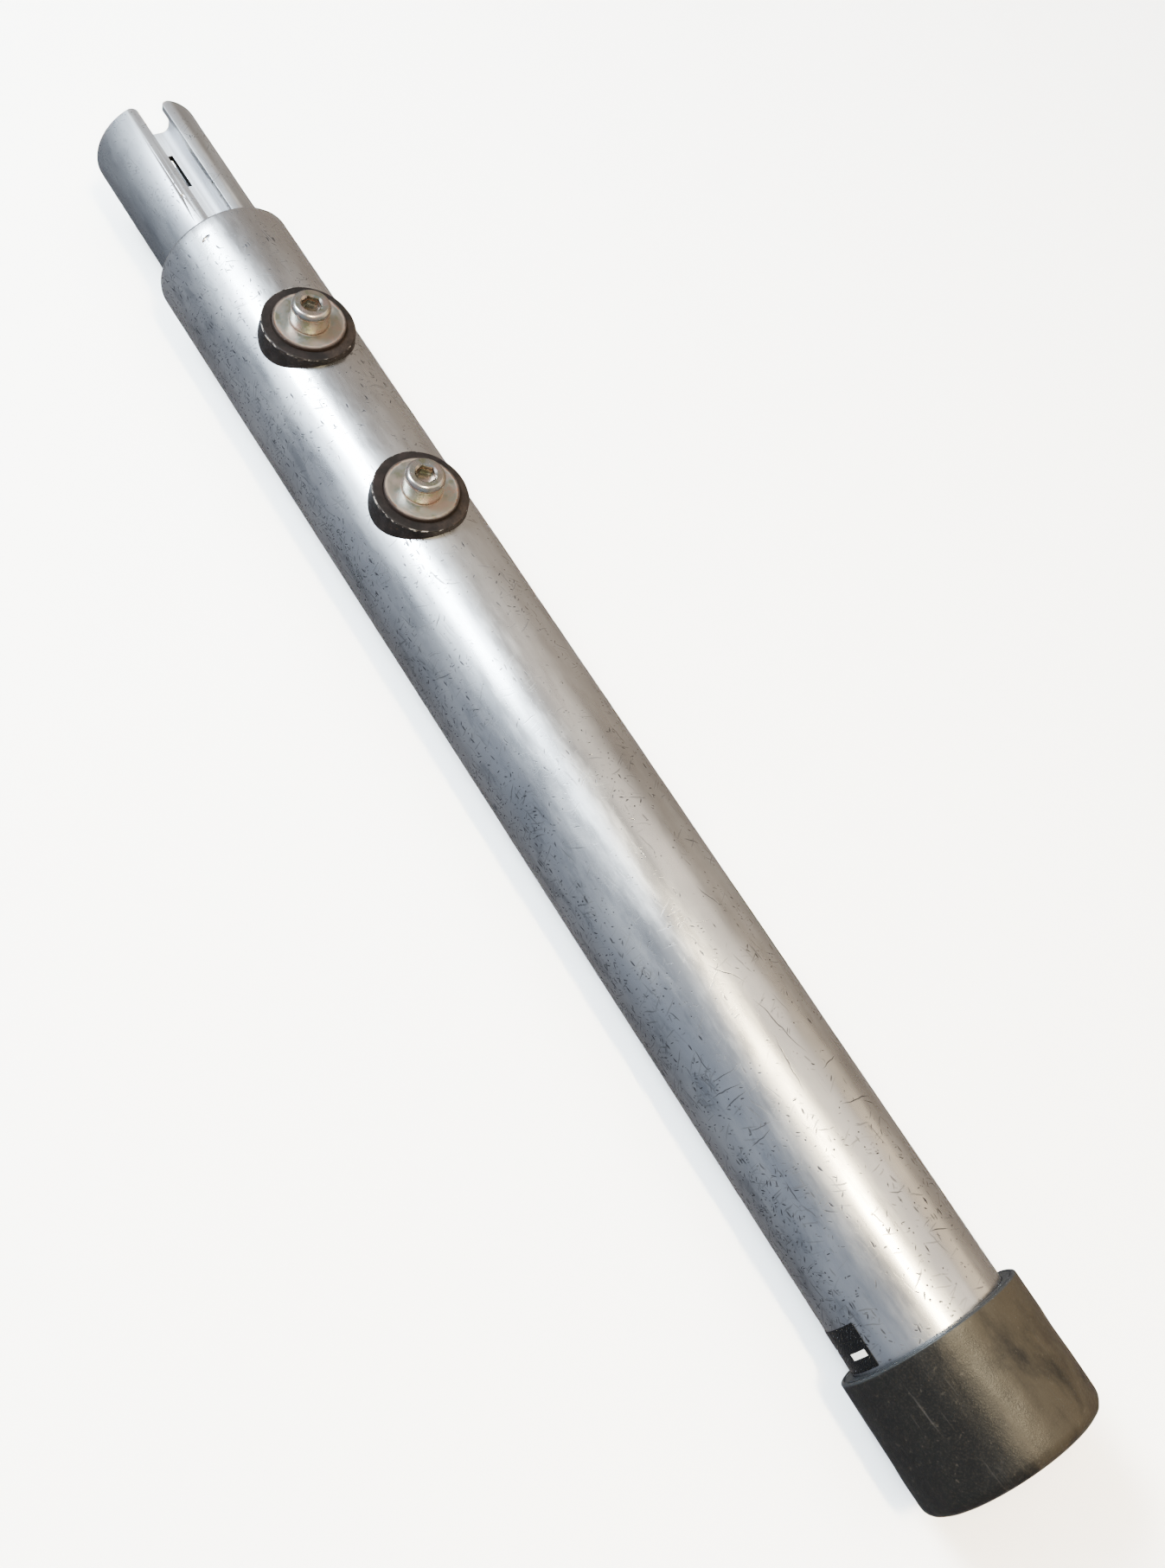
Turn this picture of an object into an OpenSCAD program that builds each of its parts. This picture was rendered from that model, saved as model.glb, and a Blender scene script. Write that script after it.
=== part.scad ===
// Ladder stabilizer arm. A slotted aluminium profile, the spigot, slides inside a round
// tube that ends in a rubber foot. Two socket screws reach through rubber rings and the
// tube wall into nuts in the profile's channel, and clamp the two together.
// X runs along the arm, from the spigot's free end (the origin) to the sole of the foot.
// Z is the direction of the clamp screws, heads up.

/* [Arm] */
// Length from the spigot's free end to the sole of the foot
arm_length = 522; // [430:5:900]
// Length of spigot that stands out of the tube at rest
spigot_out = 60; // [50:1:90]
// How far the arm can be pulled out from rest
travel_out = 60; // [20:1:90]

/* [Tube] */
// Outside diameter of the tube
tube_d = 50; // [42:0.5:60]
// Wall of the tube
tube_wall = 3; // [2:0.25:4]
// Radius of the worn outer edge at the tube's mouth
mouth_round = 1.2; // [0.3:0.1:1.5]
// Distance of the staking mark from the mouth
stake_in = 7.3; // [5:0.1:12]
// Angle of the staking mark from the line of screws
stake_angle = -28.6; // [-60:1:-20]

/* [Spigot profile] */
// Radial space between the spigot and the bore of the tube, where the guides run
guide_space = 2.25; // [1.5:0.05:4]
// How far the flat land lies inside the profile's round outside
land_drop = 1.85; // [1.5:0.05:3]
// Thickness of the two lips beside the slot
lip_t = 2.4; // [2:0.1:3.5]
// Width of the channel under the lips
channel_w = 16; // [13:0.1:20]
// Radius in the channel's bottom corners
channel_round = 2.75; // [1:0.25:4]
// Wall between a chamber and the round outside
profile_wall = 2.4; // [1.8:0.1:3]
// Wall under and beside the channel
web_t = 2.5; // [2:0.1:3]
// Corner radius of the lips at the free end
lip_round = 2; // [0.5:0.25:3]
// Chamfer around the free end
end_break = 0.4; // [0.1:0.1:0.4]
// Distance from the free end to the latch window in the web
window_in = 11.6; // [5:0.1:20]
// Length of the latch window
window_l = 15.7; // [8:0.1:20]
// Width of the latch window
window_w = 7.8; // [4:0.1:9]
// Distance of the depth mark, a shallow groove, inside the tube's mouth
mark_in = 0.5; // [0:0.1:1]
// Width of the depth mark
mark_w = 1.5; // [1:0.1:2]
// Depth of the depth mark
mark_depth = 0.4; // [0.2:0.1:0.8]
// Bore of the screw port under the web
port_d = 4.8; // [4:0.1:6]
// Wall of the screw port
port_wall = 1.8; // [1.2:0.1:2.5]

/* [Clamp screws] */
// Distance from the tube's mouth to the first screw
screw_first = 56.3; // [50:0.1:80]
// Distance between the two screws
screw_pitch = 73.6; // [50:0.1:110]
// Thread diameter of the clamp screws
screw_d = 8; // [6:0.1:10]
// Length of the clamp screws under the head
screw_length = 20; // [18:1:22]
// Diameter of the screw heads
head_d = 13; // [12:0.1:16]
// Height of the screw heads
head_h = 8; // [6:0.1:10]
// Size of the hexagon socket across its flats
hex_af = 6; // [5:0.1:8]
// Depth of the hexagon socket
hex_depth = 4; // [2.5:0.1:5]
// Angle that the sockets are turned to at rest
hex_turn = 20; // [0:1:59]
// Outside diameter of the large washers
washer_d = 24.4; // [20:0.1:30]
// Thickness of the large washers
washer_t = 2; // [1.5:0.1:3]
// Rubber between washer and tube, on the tube's crown
ring_crown = 1.5; // [1:0.1:4]
// How far the ring's rim stands up beside the washer
ring_rise = 0.8; // [0.4:0.1:1.6]
// Width of rubber outside the washer's recess
ring_rim = 3.4; // [2:0.1:5]

/* [Channel nuts and saddles] */
// Length of a channel nut along the channel
nut_l = 16; // [14:0.5:20]
// Height of a channel nut under the lips
nut_h = 6; // [4:0.5:7]
// Length of the saddle between tube and profile
saddle_l = 22; // [16:1:30]
// Width of the saddle
saddle_w = 18; // [14:0.5:20]

/* [Guides] */
// Distance from the mouth to the mouth bush
bush_in = 3; // [2.5:0.1:6]
// Length of the mouth bush
bush_l = 30; // [20:1:36]
// Length of the guide plug's flange
plug_flange = 10; // [6:1:16]
// Length of the guide plug's tongue in the channel
plug_tongue = 12; // [6:1:20]
// Diameter of the plug screw's head
plug_head_d = 9; // [7:0.1:10]
// Height of the plug screw's head
plug_head_h = 2.6; // [1.5:0.1:3]
// How deep the plug screw's head stands in the plug
plug_head_sink = 4; // [3:0.5:5]
// Length of the plug screw under its head
plug_screw_l = 22; // [16:1:30]

/* [Foot and label] */
// Length of the rubber foot
foot_l = 41; // [30:0.1:60]
// Thickness of rubber around the tube
foot_wall = 4.4; // [3:0.1:7]
// Thickness of rubber under the steel disc
foot_sole = 6; // [4:0.5:12]
// Radius around the edge of the sole
foot_round = 4; // [1:0.25:4]
// Radius of the worn edges of the foot's rim
rim_round = 0.6; // [0.2:0.1:1]
// Thickness of the steel disc that the tube stands on
disc_t = 2; // [1:0.25:4]
// Width of the label along the tube
label_w = 13; // [8:0.5:20]
// Length of the label around the tube
label_l = 45; // [20:1:60]
// Bare tube between the label and the foot
label_gap = 0.8; // [0.3:0.1:10]
// Angle of the label's upper end from the line of screws
label_angle = -68; // [-90:1:-50]
// Thickness of the label
label_t = 0.2; // [0.1:0.05:0.4]

/* [Clearances] */
// Radial gap of a sliding guide
slide_gap = 0.15; // [0.05:0.01:0.3]
// Gap around pieces that travel past each other without guiding
travel_gap = 0.3; // [0.2:0.05:0.5]
// Gap on each side of what seats inside another piece
seat_gap = 0.05; // [0.02:0.01:0.1]
// Radial gap of a plain screw thread in its nut
thread_gap = 0.05; // [0.02:0.01:0.1]
// Radial gap of a clearance hole in the clamped stack
hole_gap = 0.5; // [0.2:0.1:1]
// Radial gap between washer and screw, and around the washer in its recess
washer_gap = 0.2; // [0.1:0.05:0.5]
// Gap on each side of a nut in the channel
nut_gap = 0.4; // [0.2:0.05:1]
// Gap on each side of a screw in the slot
slot_gap = 0.75; // [0.5:0.05:1.5]
// Space between a screw's tip and the web
tip_gap = 4.2; // [1:0.1:6]

/* [Hidden] */
$fn = 96;
past = 1;                                   // how far a cutter runs past the surface it cuts

tube_r = tube_d / 2;
bore_r = tube_r - tube_wall;
spigot_r = bore_r - guide_space;
tube_end = arm_length - foot_sole - disc_t;
screw_at = [spigot_out + screw_first, spigot_out + screw_first + screw_pitch];

screw_r = screw_d / 2;
washer_bottom = tube_r + ring_crown;
head_bottom = washer_bottom + washer_t;
tip_z = head_bottom - screw_length;

land_z = spigot_r - land_drop;              // height of the flat beside the slot
lip_z = land_z - lip_t;                     // underside of the lips
floor_z = tip_z - tip_gap;                  // floor of the channel
web_z = floor_z - web_t;                    // underside of the web
slot_w = 2 * (screw_r + slot_gap);
chamber_r = spigot_r - profile_wall;        // round outside of the hollow chamber
chamber_top = (floor_z + lip_z) / 2;        // height of the chamber's two arms
port_r = port_d / 2;
port_z = web_z - port_r;                    // axis of the screw port

plug_at = screw_at[1] + nut_l / 2 + travel_out + travel_gap;  // front of the plug's tongue
profile_end = plug_at + plug_tongue;
plug_seat = profile_end + plug_flange - plug_head_sink;       // underside of the plug screw's head
foot_rim = arm_length - foot_l;

alu = [0.78, 0.79, 0.81];
zinc = [0.74, 0.71, 0.64];
black_rubber = [0.09, 0.09, 0.09];
foot_rubber = [0.17, 0.16, 0.15];
nylon = [0.9, 0.89, 0.85];

// Draws a section in Y and Z, or a turned shape, with its length along X from x
module along_x(x = 0) {
  translate([x, 0, 0]) rotate([90, 0, 90]) children();
}

// A solid disc or cylinder on the arm's axis
module axle(x, length, r) {
  along_x(x) cylinder(h = length, r = r);
}

// A straight hole along Z at x, through everything
module screw_hole(x, r) {
  translate([x, 0, -tube_r]) cylinder(h = 2 * tube_d, r = r);
}

// The channel under the lips with its round bottom corners, larger all round by grow
module channel_section(grow = 0) {
  half_w = channel_w / 2 + grow;
  round_r = channel_round + grow;
  low = floor_z - grow;
  translate([-half_w, low + round_r]) square([2 * half_w, lip_z + grow - low - round_r]);
  translate([-half_w + round_r, low]) square([2 * (half_w - round_r), 2 * round_r]);
  for (side = [-1, 1])
    translate([side * (half_w - round_r), low + round_r]) circle(r = round_r);
}

// The round outside with its flat land, larger all round by gap
module spigot_outline(gap = 0) {
  intersection() {
    circle(r = spigot_r + gap);
    translate([-2 * spigot_r, -2 * spigot_r])
      square([4 * spigot_r, 2 * spigot_r + land_z + gap]);
  }
}

// The hollow chamber around the channel, with the screw port's wall left standing in it
module chamber_section() {
  difference() {
    intersection() {
      circle(r = chamber_r);
      translate([-spigot_r, -spigot_r]) square([2 * spigot_r, spigot_r + chamber_top]);
    }
    channel_section(web_t);
    translate([0, port_z]) circle(r = port_r + port_wall);
  }
}

module profile_section() {
  difference() {
    spigot_outline();
    channel_section();
    translate([-slot_w / 2, lip_z - past]) square([slot_w, land_drop + lip_t + 2 * past]);
    chamber_section();
    translate([0, port_z]) circle(r = port_r);
  }
}

// What is cut away to round the right lip's corner beside the slot
module lip_corner_cut() {
  translate([0, slot_w / 2, lip_z - past])
    linear_extrude(height = lip_t + 2 * past)
      difference() {
        translate([-past, -past]) square([lip_round + past, lip_round + past]);
        translate([lip_round, lip_round]) circle(r = lip_round, $fn = 48);
      }
}

module inner_profile() {
  color(alu)
    difference() {
      along_x() linear_extrude(height = profile_end) profile_section();
      lip_corner_cut();
      mirror([0, 1, 0]) lip_corner_cut();
      // latch window through the web
      translate([window_in, -window_w / 2, web_z - past])
        cube([window_l, window_w, web_t + 2 * past]);
      // chamfer around the free end
      along_x(-past)
        difference() {
          cylinder(h = end_break + past, r = spigot_r + 2 * past);
          cylinder(h = end_break + past, r1 = spigot_r - end_break - past, r2 = spigot_r);
        }
      // depth mark
      along_x(spigot_out + mark_in)
        difference() {
          cylinder(h = mark_w, r = spigot_r + past);
          translate([0, 0, -past]) cylinder(h = mark_w + 2 * past, r = spigot_r - mark_depth);
        }
    }
}

module tube_wall_section() {
  difference() {
    translate([bore_r, 0]) square([tube_wall, tube_end - spigot_out]);
    translate([tube_r - mouth_round, 0])
      difference() {
        translate([0, -past]) square([mouth_round + past, mouth_round + past]);
        translate([0, mouth_round]) circle(r = mouth_round, $fn = 48);
      }
  }
}

module outer_tube() {
  stake_r = 3;
  stake_depth = 0.4;
  color(alu)
    difference() {
      along_x(spigot_out) rotate_extrude() tube_wall_section();
      for (x = screw_at)
        translate([x, 0, 0]) cylinder(h = tube_r + past, r = screw_r + hole_gap);
      rotate([-stake_angle, 0, 0])
        translate([spigot_out + stake_in, 0, tube_r + stake_r - stake_depth])
          sphere(r = stake_r, $fn = 48);
    }
}

// A round bush keyed to the profile's land
module mouth_bush() {
  color(nylon)
    along_x(spigot_out + bush_in)
      linear_extrude(height = bush_l)
        difference() {
          circle(r = bore_r - seat_gap);
          spigot_outline(slide_gap);
        }
}

// Closes the inner end of the profile, guides it in the tube and stops the nuts
module guide_plug() {
  color(nylon)
    difference() {
      union() {
        along_x(plug_at) linear_extrude(height = plug_tongue) channel_section(-seat_gap);
        axle(profile_end, plug_flange, bore_r - travel_gap);
      }
      translate([0, 0, port_z]) axle(profile_end - past, plug_flange + 2 * past, port_r + seat_gap);
      translate([0, 0, port_z])
        axle(plug_seat, plug_head_sink + past, plug_head_d / 2 + travel_gap);
    }
}

module plug_screw() {
  recess_l = 4.6;
  recess_w = 1;
  recess_depth = 1.5;
  color(zinc)
    translate([0, 0, port_z])
      difference() {
        union() {
          axle(plug_seat, plug_head_h, plug_head_d / 2);
          axle(plug_seat - plug_screw_l, plug_screw_l + plug_head_h / 2, port_r - seat_gap);
        }
        // cross recess
        for (turn = [0, 90])
          translate([plug_seat + plug_head_h, 0, 0])
            rotate([turn, 0, 0]) cube([2 * recess_depth, recess_w, recess_l], center = true);
      }
}

module foot_section() {
  inside = foot_l - foot_sole;
  difference() {
    square([tube_r + foot_wall, foot_l]);
    translate([-past, -past]) square([tube_r + seat_gap + past, inside + past]);
    // edge of the sole
    translate([tube_r + foot_wall - foot_round, foot_l - foot_round])
      difference() {
        square([foot_round + past, foot_round + past]);
        circle(r = foot_round, $fn = 64);
      }
    // outer edge of the rim
    translate([tube_r + foot_wall - rim_round, 0])
      difference() {
        translate([0, -past]) square([rim_round + past, rim_round + past]);
        translate([0, rim_round]) circle(r = rim_round, $fn = 48);
      }
  }
}

module rubber_foot() {
  color(foot_rubber) along_x(foot_rim) rotate_extrude() foot_section();
}

module foot_disc() {
  color(zinc) axle(tube_end, disc_t, tube_r - seat_gap);
}

// A thin sticker that follows the tube's outside
module label() {
  label_turn = label_l / tube_r * 180 / PI;
  color("black")
    along_x(foot_rim - label_gap - label_w)
      rotate([0, 0, 90 - label_angle])
        rotate_extrude(angle = label_turn)
          translate([tube_r + seat_gap, 0]) square([label_t, label_w]);
}

// A hexagon socket screw, head up, its head standing at z
module socket_screw(x, z) {
  edge = 0.6;
  color(zinc)
    translate([x, 0, z])
      difference() {
        union() {
          cylinder(h = head_h - edge, r = head_d / 2);
          translate([0, 0, head_h - edge])
            cylinder(h = edge, r1 = head_d / 2, r2 = head_d / 2 - edge);
          translate([0, 0, -screw_length]) cylinder(h = screw_length, r = screw_r);
        }
        translate([0, 0, head_h - hex_depth])
          rotate([0, 0, hex_turn]) cylinder(h = hex_depth + past, r = hex_af / sqrt(3), $fn = 6);
      }
}

module large_washer(x) {
  color(zinc)
    translate([x, 0, washer_bottom])
      difference() {
        cylinder(h = washer_t, r = washer_d / 2);
        translate([0, 0, -past]) cylinder(h = washer_t + 2 * past, r = screw_r + washer_gap);
      }
}

// A rubber ring whose underside follows the tube and whose top holds the washer
module saddle_ring(x) {
  recess_r = washer_d / 2 + washer_gap;
  color(black_rubber)
    difference() {
      translate([x, 0, 0]) cylinder(h = washer_bottom + ring_rise, r = recess_r + ring_rim);
      axle(x - recess_r - ring_rim - past, 2 * (recess_r + ring_rim + past), tube_r + seat_gap);
      translate([x, 0, washer_bottom]) cylinder(h = ring_rise + past, r = recess_r);
      translate([x, 0, 0]) cylinder(h = washer_bottom + past, r = screw_r + hole_gap);
    }
}

// Fills the space between the tube's bore and the profile's land under a screw
module tube_saddle(x) {
  color(alu)
    difference() {
      intersection() {
        axle(x - saddle_l / 2, saddle_l, bore_r - seat_gap);
        translate([x - saddle_l / 2, -saddle_w / 2, land_z + slide_gap])
          cube([saddle_l, saddle_w, bore_r]);
      }
      screw_hole(x, screw_r + hole_gap);
    }
}

// A nut that lies in the channel under the lips
module channel_nut(x) {
  nut_w = channel_w - 2 * nut_gap;
  color(zinc)
    difference() {
      translate([x - nut_l / 2, -nut_w / 2, lip_z - slide_gap - nut_h])
        cube([nut_l, nut_w, nut_h]);
      screw_hole(x, screw_r + thread_gap);
    }
}

module front_screw() { socket_screw(screw_at[0], head_bottom); }
module front_washer() { large_washer(screw_at[0]); }
module front_ring() { saddle_ring(screw_at[0]); }
module front_saddle() { tube_saddle(screw_at[0]); }
module front_nut() { channel_nut(screw_at[0]); }
module rear_screw() { socket_screw(screw_at[1], head_bottom); }
module rear_washer() { large_washer(screw_at[1]); }
module rear_ring() { saddle_ring(screw_at[1]); }
module rear_saddle() { tube_saddle(screw_at[1]); }
module rear_nut() { channel_nut(screw_at[1]); }

outer_tube();
inner_profile();
mouth_bush();
guide_plug();
plug_screw();
rubber_foot();
foot_disc();
label();
front_screw();
front_washer();
front_ring();
front_saddle();
front_nut();
rear_screw();
rear_washer();
rear_ring();
rear_saddle();
rear_nut();
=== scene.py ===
import math

import bmesh
import bpy
from mathutils import Matrix, Quaternion, Vector, noise


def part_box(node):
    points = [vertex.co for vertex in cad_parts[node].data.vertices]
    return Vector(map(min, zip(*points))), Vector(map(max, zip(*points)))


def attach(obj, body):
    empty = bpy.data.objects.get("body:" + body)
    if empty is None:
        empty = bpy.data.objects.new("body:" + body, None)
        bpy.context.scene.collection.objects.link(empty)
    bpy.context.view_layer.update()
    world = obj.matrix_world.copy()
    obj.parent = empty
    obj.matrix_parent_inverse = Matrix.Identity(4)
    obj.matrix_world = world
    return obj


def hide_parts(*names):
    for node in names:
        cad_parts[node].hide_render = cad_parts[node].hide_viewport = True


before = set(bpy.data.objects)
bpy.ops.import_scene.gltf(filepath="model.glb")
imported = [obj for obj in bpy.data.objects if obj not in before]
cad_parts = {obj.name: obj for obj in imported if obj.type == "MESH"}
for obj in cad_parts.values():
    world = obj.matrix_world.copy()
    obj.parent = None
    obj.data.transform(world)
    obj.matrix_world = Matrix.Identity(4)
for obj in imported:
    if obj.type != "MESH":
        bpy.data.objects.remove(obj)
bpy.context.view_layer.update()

# Ladder stabilizer arm: a worn aluminium tube with a rubber foot, the slotted profile that
# slides in it, and the two screws that clamp them. X runs from the spigot's free end to the
# sole, Z is the direction of the screws. Sizes are in metres.

# ---------------------------------------------------------------- sizes from the frame

TUBE_LOW, TUBE_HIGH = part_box("outer_tube")
FOOT_LOW, FOOT_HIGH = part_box("rubber_foot")
LABEL_LOW, LABEL_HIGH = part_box("label")
DISC_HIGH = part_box("foot_disc")[1]

MOUTH = TUBE_LOW.x
TUBE_END = TUBE_HIGH.x
TUBE_R = TUBE_HIGH.z
LAND_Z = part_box("inner_profile")[1].z
FOOT_R = FOOT_HIGH.z
FLOOR_Z = FOOT_LOW.z

# ---------------------------------------------------------------- sizes that no box gives

TUBE_WALL = 0.003
BORE_R = TUBE_R - TUBE_WALL
MOUTH_ROUND = 0.0012
SCREW_R = 0.004
HOLE_R = 0.0045
THREAD_PITCH = 0.00125
CHANNEL_HALF = 0.008
CHANNEL_FLOOR = 0.0043
CHANNEL_TOP = 0.0155

EDGE = 0.0003                     # a small break on a sawn or pressed edge
GROOVE_DROP = 0.0019              # from a screw head's top down to the groove around it
RIM_RUST_R = 0.0114               # where a washer's rim begins to rust
LABEL_FIRST, LABEL_LAST = -68.3, -170.8     # the label's ends, in degrees from the line of screws


# ---------------------------------------------------------------- building pieces

def turned(corners, steps, turn_to="Z", centre=(0, 0, 0)):
    """Spins an outline once about an axis. A corner is (along the axis, out from it, rounding)."""
    bm = bmesh.new()
    verts = [bm.verts.new((out, 0, along)) for along, out, _ in corners]
    bm.faces.new(verts)
    for vert, (_, _, rounding) in zip(verts, corners):
        if rounding:
            bmesh.ops.bevel(bm, geom=[vert], affect="VERTICES", offset=rounding,
                            offset_type="OFFSET", segments=5, profile=0.5, material=-1)
    bmesh.ops.delete(bm, geom=bm.faces[:], context="FACES_ONLY")
    on_axis = [e for e in bm.edges if all(v.co.x < 1e-7 for v in e.verts)]
    bmesh.ops.delete(bm, geom=on_axis, context="EDGES")
    bmesh.ops.spin(bm, geom=bm.verts[:] + bm.edges[:], cent=(0, 0, 0), axis=(0, 0, 1),
                   angle=2 * math.pi, steps=steps, use_merge=True, use_duplicate=False)
    bmesh.ops.remove_doubles(bm, verts=bm.verts, dist=1e-6)
    if turn_to == "X":
        lay_down = Matrix.Rotation(math.pi / 2, 3, "Y")
        bmesh.ops.rotate(bm, verts=bm.verts, cent=(0, 0, 0), matrix=lay_down)
    bmesh.ops.translate(bm, verts=bm.verts, vec=centre)
    bmesh.ops.recalc_face_normals(bm, faces=bm.faces)
    return bm


def placed(name, data):
    """Puts a mesh, a lamp or a camera in the scene, at the origin."""
    holder = bpy.data.objects.new(name, data)
    bpy.context.scene.collection.objects.link(holder)
    return holder


def smoothed(mesh, sharp):
    """Shades a mesh smooth except over edges steeper than that many degrees."""
    mesh.shade_smooth()
    mesh.set_sharp_from_angle(angle=math.radians(sharp))


def finished(name, bm, sharp=35):
    """Makes a bmesh an object at the origin, smooth except over its sharp edges."""
    mesh = bpy.data.meshes.new(name)
    bm.to_mesh(mesh)
    bm.free()
    smoothed(mesh, sharp)
    return placed(name, mesh)


def cut_out(piece, *cutters, sharp=35):
    """Cuts the cutters' solids out of the piece and keeps the result as its mesh."""
    for cutter in cutters:
        cut = piece.modifiers.new("cut", "BOOLEAN")
        cut.operation = "DIFFERENCE"
        cut.solver = "EXACT"
        cut.object = cutter
    bpy.context.view_layer.update()
    seen = piece.evaluated_get(bpy.context.evaluated_depsgraph_get())
    mesh = bpy.data.meshes.new_from_object(seen)
    mesh.name = piece.name
    piece.modifiers.clear()
    old = piece.data
    piece.data = mesh
    bpy.data.meshes.remove(old)
    smoothed(mesh, sharp)
    for cutter in cutters:
        bpy.data.objects.remove(cutter)
    return piece


def softened(name, node, width, segments=2, steep=40):
    """A merged copy of a CAD node with its sharp edges broken."""
    bm = bmesh.new()
    bm.from_mesh(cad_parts[node].data)
    bmesh.ops.remove_doubles(bm, verts=bm.verts, dist=1e-6)
    bmesh.ops.dissolve_limit(bm, angle_limit=math.radians(1), verts=bm.verts, edges=bm.edges)
    edges = [e for e in bm.edges if e.is_manifold and e.calc_face_angle() > math.radians(steep)]
    bmesh.ops.bevel(bm, geom=edges, affect="EDGES", offset=width, segments=segments,
                    profile=0.5, material=-1, clamp_overlap=True)
    return finished(name, bm)


def dented(bm, skin_r, deepest, waves):
    """Presses the skin outside skin_r inwards, unevenly; waves is (along the arm, across it)."""
    along, across = waves
    for vert in bm.verts:
        out = math.hypot(vert.co.y, vert.co.z)
        if out > skin_r:
            spot = Vector((vert.co.x * along, vert.co.y * across, vert.co.z * across))
            dent = deepest * max(0.0, min(1.0, 0.45 + noise.fractal(spot, 0.7, 2.0, 3)))
            vert.co.yz *= 1 - dent / out


def wrap_map(piece):
    """UV in metres: along the arm, and around it from the line of screws."""
    mesh = piece.data
    layer = mesh.uv_layers.new(name="wrap")
    for face in mesh.polygons:
        middle = math.atan2(face.center.y, face.center.z)
        for loop in face.loop_indices:
            spot = mesh.vertices[mesh.loops[loop].vertex_index].co
            turn = math.atan2(spot.y, spot.z)
            turn += 2 * math.pi * round((middle - turn) / (2 * math.pi))
            layer.data[loop].uv = (spot.x, turn * TUBE_R)


def plan_map(piece, x):
    """UV in metres, seen along a screw: from the screw's axis along and across the arm."""
    mesh = piece.data
    layer = mesh.uv_layers.new(name="plan")
    for loop in mesh.loops:
        spot = mesh.vertices[loop.vertex_index].co
        layer.data[loop.index].uv = (spot.x - x, spot.y)


def dress(piece, finish, body, slot, *nodes):
    """Gives a piece its material and its body and hides the CAD nodes that it stands for; slot is not
    used.
    """
    piece.data.materials.clear()
    piece.data.materials.append(finish)
    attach(piece, body)
    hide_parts(*nodes)
    return piece


# ---------------------------------------------------------------- materials

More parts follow.
